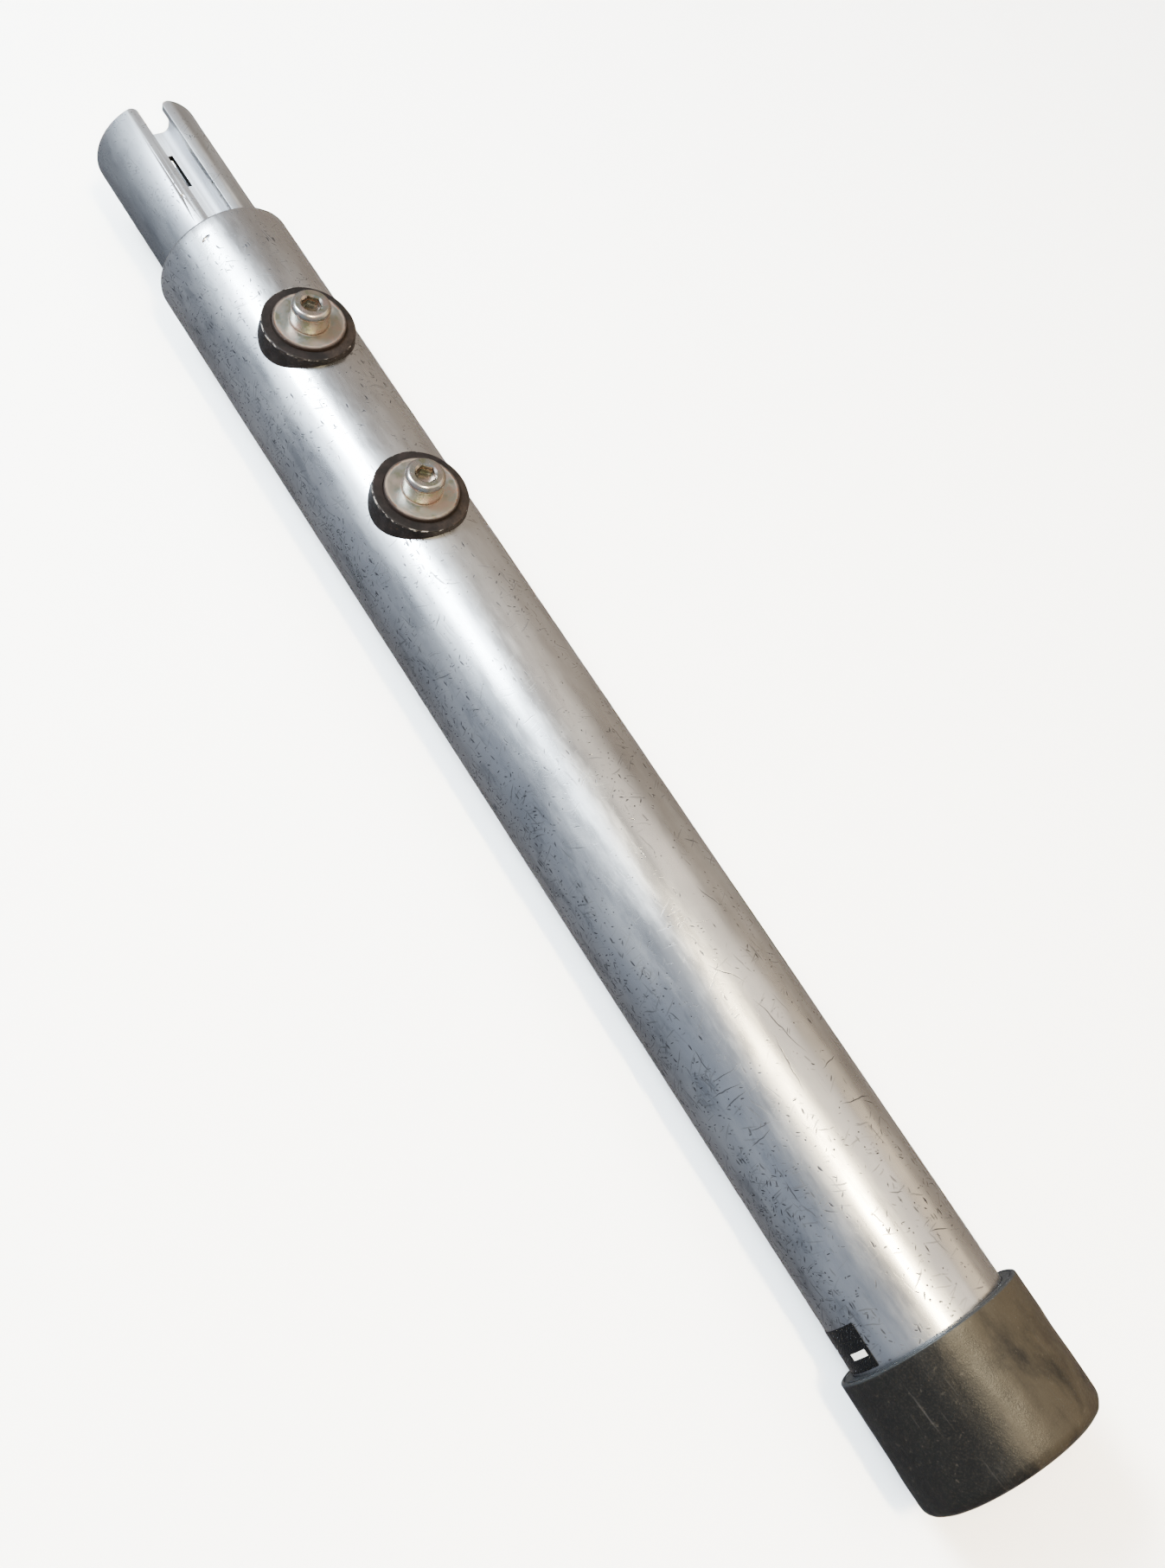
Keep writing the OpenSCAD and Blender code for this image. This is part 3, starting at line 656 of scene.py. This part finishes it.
def label(first, last):
    """A film bent around the tube from one angle to another, its corners rounded."""
    long = math.radians(first - last) * TUBE_R
    wide = LABEL_HIGH.x - LABEL_LOW.x
    bm = bmesh.new()
    bmesh.ops.create_grid(bm, x_segments=16, y_segments=96, size=0.5)
    bmesh.ops.scale(bm, verts=bm.verts, vec=(wide, long, 1))
    tips = [v for v in bm.verts if len(v.link_edges) == 2]
    bmesh.ops.bevel(bm, geom=tips, affect="VERTICES", offset=0.0006, segments=4, profile=0.5,
                    material=-1, clamp_overlap=False)
    bmesh.ops.solidify(bm, geom=bm.faces[:], thickness=0.00012)
    middle_x, middle = (LABEL_LOW.x + LABEL_HIGH.x) / 2, (first + last) / 2
    lowest = min(v.co.z for v in bm.verts)
    for vert in bm.verts:
        x = middle_x + vert.co.x
        degrees = middle + math.degrees(vert.co.y / TUBE_R)
        ripple = 0.00003 * (1 + noise.noise(Vector((x * 400, degrees * 0.3, 1))))
        vert.co = on_tube(x, degrees, TUBE_R + 0.00004 + (vert.co.z - lowest) + ripple)
    bmesh.ops.recalc_face_normals(bm, faces=bm.faces)
    piece = finished("maker_label", bm)
    wrap_map(piece)
    return piece


# ---------------------------------------------------------------- the profile and the clamps

def slotted_profile():
    """The profile with its edges broken and a nick on its land."""
    piece = softened("slotted_profile", "inner_profile", 0.00025)
    nick_x, nick_y = 0.0435, -0.0082
    nick = ellipsoid("nick", (0.0012, 0.0007, 0.0006), (nick_x, nick_y, LAND_Z + 0.0001))
    cut_out(piece, nick)
    wrap_map(piece)
    return piece


def clamp_screw(name, x, node):
    """A hexagon socket screw: shouldered head, countersunk socket and a real thread."""
    low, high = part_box(node)
    tip, top = low.z, high.z
    head_r = high.x - x
    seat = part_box(node.replace("screw", "washer"))[1].z
    socket_r, socket_depth, mouth_r, turn = 0.006 / math.sqrt(3), 0.004, 0.0037, 20
    core_r = SCREW_R - 0.0007
    groove = top - GROOVE_DROP
    bm = turned([(tip, 0, 0), (tip, core_r - 0.0006, 0), (tip + 0.0006, core_r, 0),
                 (seat - 0.0018, core_r, 0), (seat - 0.0012, SCREW_R, 0), (seat, SCREW_R, 0),
                 (seat, head_r, 0.0003), (groove - 0.0002, head_r, 0), (groove, head_r - 0.00025, 0),
                 (groove + 0.0002, head_r, 0), (top - 0.0010, head_r, 0.0004),
                 (top, head_r - 0.0009, 0.0005), (top, 0, 0)], 96, "Z", (x, 0, 0))
    piece = finished(name, bm)
    bm = bmesh.new()
    bmesh.ops.create_cone(bm, cap_ends=True, segments=6, radius1=socket_r, radius2=socket_r,
                          depth=2 * socket_depth)
    about_axis = Matrix.Rotation(math.radians(turn), 3, "Z")
    bmesh.ops.rotate(bm, verts=bm.verts, cent=(0, 0, 0), matrix=about_axis)
    bmesh.ops.translate(bm, verts=bm.verts, vec=(x, 0, top))
    hexagon = finished("hexagon", bm)
    bm = bmesh.new()
    sink = mouth_r - socket_r * math.cos(math.pi / 6)
    bmesh.ops.create_cone(bm, cap_ends=True, segments=64, radius1=mouth_r - 2 * sink,
                          radius2=mouth_r + sink, depth=3 * sink)
    bmesh.ops.translate(bm, verts=bm.verts, vec=(x, 0, top - sink / 2))
    mouth = finished("mouth", bm)
    cut_out(piece, hexagon, mouth, sharp=30)
    thread(piece, x, tip + 0.0008, seat - 0.0018, core_r)
    plan_map(piece, x)
    return piece


def thread(piece, x, start, end, core_r):
    """Winds a tooth up the screw's core and joins it to the screw."""
    steps = 28
    turns = int((end - start) / THREAD_PITCH)
    bm = bmesh.new()
    half, root_r, crest_r = THREAD_PITCH * 0.44, core_r - 0.0001, SCREW_R - 0.00003
    outline = [(root_r, 0, start), (crest_r, 0, start + half), (root_r, 0, start + 2 * half)]
    tooth = [bm.verts.new(corner) for corner in outline]
    for a, b in zip(tooth, tooth[1:] + tooth[:1]):
        bm.edges.new((a, b))
    bmesh.ops.spin(bm, geom=bm.verts[:] + bm.edges[:], cent=(0, 0, 0), axis=(0, 0, 1),
                   dvec=(0, 0, THREAD_PITCH / steps), angle=2 * math.pi * turns, steps=steps * turns,
                   use_merge=False, use_duplicate=False)
    bmesh.ops.holes_fill(bm, edges=[e for e in bm.edges if e.is_boundary], sides=3)
    bmesh.ops.recalc_face_normals(bm, faces=bm.faces)
    bmesh.ops.translate(bm, verts=bm.verts, vec=(x, 0, 0))
    bm.from_mesh(piece.data)
    bm.to_mesh(piece.data)
    bm.free()
    smoothed(piece.data, 30)


def large_washer(name, x, node):
    """A flat washer with its edges broken."""
    low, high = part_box(node)
    outer_r, bore_r = high.x - x, SCREW_R + 0.0002
    bm = turned([(low.z, bore_r, 0.0001), (low.z, outer_r, EDGE), (high.z, outer_r, EDGE),
                 (high.z, bore_r, 0.0001)], 128, "Z", (x, 0, 0))
    piece = finished(name, bm)
    plan_map(piece, x)
    return piece


def saddle_ring(name, x, node, washer_node):
    """A rubber ring that follows the tube below, holds the washer and sags on one side."""
    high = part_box(node)[1]
    washer_low, washer_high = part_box(washer_node)
    top, outer_r = high.z, high.x - x
    seat, recess_r = washer_low.z, washer_high.x - x + 0.0002
    under_r = TUBE_R + 0.00006
    start = under_r - 0.006
    bm = turned([(start, HOLE_R, 0), (start, outer_r, 0), (top, outer_r, 0.0006),
                 (top, recess_r, 0.0002), (seat, recess_r, 0), (seat, HOLE_R, 0)], 128)
    level = [e for e in bm.edges if all(abs(v.co.z - start) < 1e-6 for v in e.verts)
             and abs(e.verts[0].co.xy.length - e.verts[1].co.xy.length) > 0.001]
    upright = [e for e in bm.edges if all(v.co.xy.length > outer_r - 1e-5 for v in e.verts)
               and abs(e.verts[0].co.z - e.verts[1].co.z) > 0.001]
    bmesh.ops.subdivide_edges(bm, edges=level, cuts=8, use_grid_fill=True)
    bmesh.ops.subdivide_edges(bm, edges=upright, cuts=8, use_grid_fill=True)
    flare, sag, shrink, uneven = 0.0006, 0.0007, 0.0004, 0.00012
    for vert in bm.verts:
        out = vert.co.xy.length
        ceiling = top if out > recess_r - 1e-5 else seat
        rise = (vert.co.z - start) / (ceiling - start)
        side = vert.co.y / outer_r
        rim = max(0.0, min(1.0, (out - recess_r) / (outer_r - recess_r)))
        wear = noise.noise(Vector((x * 50 + vert.co.x * 180, vert.co.y * 180, 0)))
        grow = flare * max(0.0, -side) * (1 - rise) ** 2 - shrink * max(0.0, side) ** 2 * rise
        vert.co.xy *= 1 + rim * (grow + uneven * wear) / max(out, 0.001)
        floor = math.sqrt(under_r ** 2 - vert.co.y ** 2)
        drop = sag * max(0.0, side) ** 2 * rim + uneven * abs(wear) * rim
        vert.co.z = floor + rise * (ceiling - drop - floor)
    bmesh.ops.translate(bm, verts=bm.verts, vec=(x, 0, 0))
    bmesh.ops.recalc_face_normals(bm, faces=bm.faces)
    piece = finished(name, bm, 50)
    plan_map(piece, x)
    return piece


# ---------------------------------------------------------------- light, floor and camera

def soft_light(name, place, target, size, power, colour, only=None):
    """An area light aimed at a point, its first side along the arm; it may light one object only."""
    lamp = bpy.data.lights.new(name, "AREA")
    lamp.shape = "RECTANGLE"
    lamp.size, lamp.size_y = size
    lamp.energy = power
    lamp.color = colour
    holder = placed(name, lamp)
    holder.location = place
    back = (Vector(place) - Vector(target)).normalized()
    side = Vector((1, 0, 0))
    side = (side - back * side.dot(back)).normalized()
    up = back.cross(side)
    holder.rotation_euler = Matrix((side, up, back)).transposed().to_euler()
    if only:
        lit = bpy.data.collections.new(name + "_lights")
        lit.objects.link(only)
        holder.light_linking.receiver_collection = lit
    return holder


def soft_sky():
    """A dim room: cool on the low side of the arm, warm on the other, darker below."""
    world = bpy.data.worlds.new("soft_sky")
    world.use_nodes = True
    tree = world.node_tree
    where = tree.nodes.new("ShaderNodeTexCoord")
    parts = tree.nodes.new("ShaderNodeSeparateXYZ")
    ramp = tree.nodes.new("ShaderNodeValToRGB")
    across = tree.nodes.new("ShaderNodeMapRange")
    upward = tree.nodes.new("ShaderNodeMapRange")
    across.inputs["From Min"].default_value = -1
    upward.inputs["From Min"].default_value = -0.85
    upward.inputs["From Max"].default_value = 0.1
    upward.inputs["To Min"].default_value = 0.50
    tree.links.new(where.outputs["Generated"], parts.inputs[0])
    tree.links.new(parts.outputs["Y"], across.inputs["Value"])
    tree.links.new(parts.outputs["Z"], upward.inputs["Value"])
    tree.links.new(across.outputs[0], ramp.inputs["Fac"])
    tree.links.new(ramp.outputs["Color"], tree.nodes["Background"].inputs["Color"])
    tree.links.new(upward.outputs[0], tree.nodes["Background"].inputs["Strength"])
    ramp.color_ramp.elements[0].color = (0.44, 0.50, 0.60, 1)
    ramp.color_ramp.elements[1].color = (0.56, 0.45, 0.34, 1)
    bpy.context.scene.world = world


def studio():
    """A pale floor under the foot, a soft sky, a cool window, warm lamps and the floor's own lamp."""
    bm = bmesh.new()
    bmesh.ops.create_grid(bm, x_segments=1, y_segments=1, size=4)
    bmesh.ops.translate(bm, verts=bm.verts, vec=(0.26, 0, FLOOR_Z - 0.00005))
    floor = finished("floor", bm)
    f = Finish("pale_floor", Roughness=0.9)
    tone = f.cloud(f.spread(f.place, 0.4), 3)
    pale = f.mix(tone, (0.84, 0.84, 0.84), (0.86, 0.86, 0.86))
    floor.data.materials.append(f.feed(Base_Color=pale))
    floor.visible_glossy = False
    soft_sky()
    soft_light("window", (-0.49, -0.50, 1.05), (0.16, 0, 0), (0.40, 0.34), 56, (0.82, 0.93, 1.0))
    soft_light("window_glow", (-0.72, -1.10, 0.80), (0.15, 0, 0), (0.75, 0.4), 5, (0.74, 0.88, 1.0))
    soft_light("ceiling_lamp", (0.545, -0.13, 1.25), (0.45, 0, 0), (0.16, 0.08), 31, (1.0, 0.82, 0.52))
    soft_light("fill", (0.5, 0.9, 1.5), (0.26, 0, 0), (1.6, 1.2), 9, (1.0, 0.86, 0.68))
    soft_light("warm_wall", (0.75, 1.2, 0.55), (0.4, 0, 0), (0.9, 0.6), 2, (1.0, 0.78, 0.50))
    soft_light("floor_lamp", (0.2, 0.0, 2.6), (0.26, 0, 0), (3.0, 3.0), 210, (1.0, 1.0, 1.0), floor)


def camera():
    """Looks down over the foot, rolled so that the arm lies across the frame."""
    eye = Vector((0.42016, -0.20697, 0.41594))
    target = Vector((0.29247, 0.00388, 0))
    roll = math.radians(28.945)
    lens = bpy.data.cameras.new("camera")
    lens.sensor_fit = "VERTICAL"
    lens.sensor_height = 36
    lens.lens = 35.104
    lens.clip_start = 0.01
    holder = placed("camera", lens)
    holder.location = eye
    holder.rotation_mode = "QUATERNION"
    holder.rotation_quaternion = (target - eye).to_track_quat("-Z", "Y") @ Quaternion((0, 0, 1), roll)
    bpy.context.scene.camera = holder


# ---------------------------------------------------------------- the arm

def screw_place(node):
    """Where along the arm a screw's axis is."""
    low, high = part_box(node)
    return (low.x + high.x) / 2


camera()
studio()

ALLOY = (0.60, 0.61, 0.63)
tube_alloy = worn_alloy("worn_tube_alloy", ALLOY, (0.47, 0.48, 0.50), 1.0, (0.23, 0.39),
                        TUBE_SCRATCHES)
profile_alloy = worn_alloy("profile_alloy", ALLOY, (0.50, 0.51, 0.54), 1.2, (0.38, 0.54),
                           channel=(CHANNEL_HALF, CHANNEL_FLOOR, CHANNEL_TOP))
saddle_alloy = mill_alloy("sawn_alloy")
washer_plate = plated_steel("washer_plate", (0.32, 0.44), 0.42, uv="plan", rim_r=RIM_RUST_R)
screw_plate = plated_steel("screw_plate", (0.18, 0.30), 0.12, uv="plan",
                           groove_z=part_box("front_screw")[1].z - GROOVE_DROP,
                           seat_z=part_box("front_washer")[1].z)
hidden_plate = plated_steel("nut_plate", (0.25, 0.40))
ring_black = ring_rubber("ring_rubber")
nylon = guide_nylon("guide_nylon")

SCREWS = {side: screw_place(side + "_screw") for side in ("front", "rear")}

dress(outer_tube(SCREWS.values()), tube_alloy, "arm", "tube_alloy", "outer_tube")
dress(rubber_foot(), foot_rubber("foot_rubber"), "arm", "foot_rubber", "rubber_foot")
BAR = ((LABEL_LOW.x + 0.0085, math.radians(LABEL_FIRST - 11) * TUBE_R), (0.0070, 0.0020))
dress(label(LABEL_FIRST, LABEL_LAST), label_film("label_film", BAR), "arm", "label_film", "label")
dress(slotted_profile(), profile_alloy, "spigot", "profile_alloy", "inner_profile")

dress(softened("foot_disc_plate", "foot_disc", EDGE), hidden_plate, "arm", "plated_steel", "foot_disc")
dress(softened("mouth_guide", "mouth_bush", 0.00012), nylon, "arm", "guide_nylon", "mouth_bush")
dress(softened("end_guide", "guide_plug", EDGE), nylon, "spigot", "guide_nylon", "guide_plug")
dress(softened("end_guide_screw", "plug_screw", 0.00015), hidden_plate,
      "spigot", "plated_steel", "plug_screw")

for side, x in SCREWS.items():
    dress(clamp_screw(side + "_clamp_screw", x, side + "_screw"), screw_plate,
          side + "_bolt", "plated_steel", side + "_screw")
    dress(large_washer(side + "_large_washer", x, side + "_washer"), washer_plate,
          side + "_clamp", "plated_steel", side + "_washer")
    dress(saddle_ring(side + "_saddle_ring", x, side + "_ring", side + "_washer"), ring_black,
          "arm", "ring_rubber", side + "_ring")
    dress(softened(side + "_tube_saddle", side + "_saddle", EDGE), saddle_alloy,
          "arm", "saddle_alloy", side + "_saddle")
    dress(softened(side + "_channel_nut", side + "_nut", EDGE), hidden_plate,
          "arm", "plated_steel", side + "_nut")
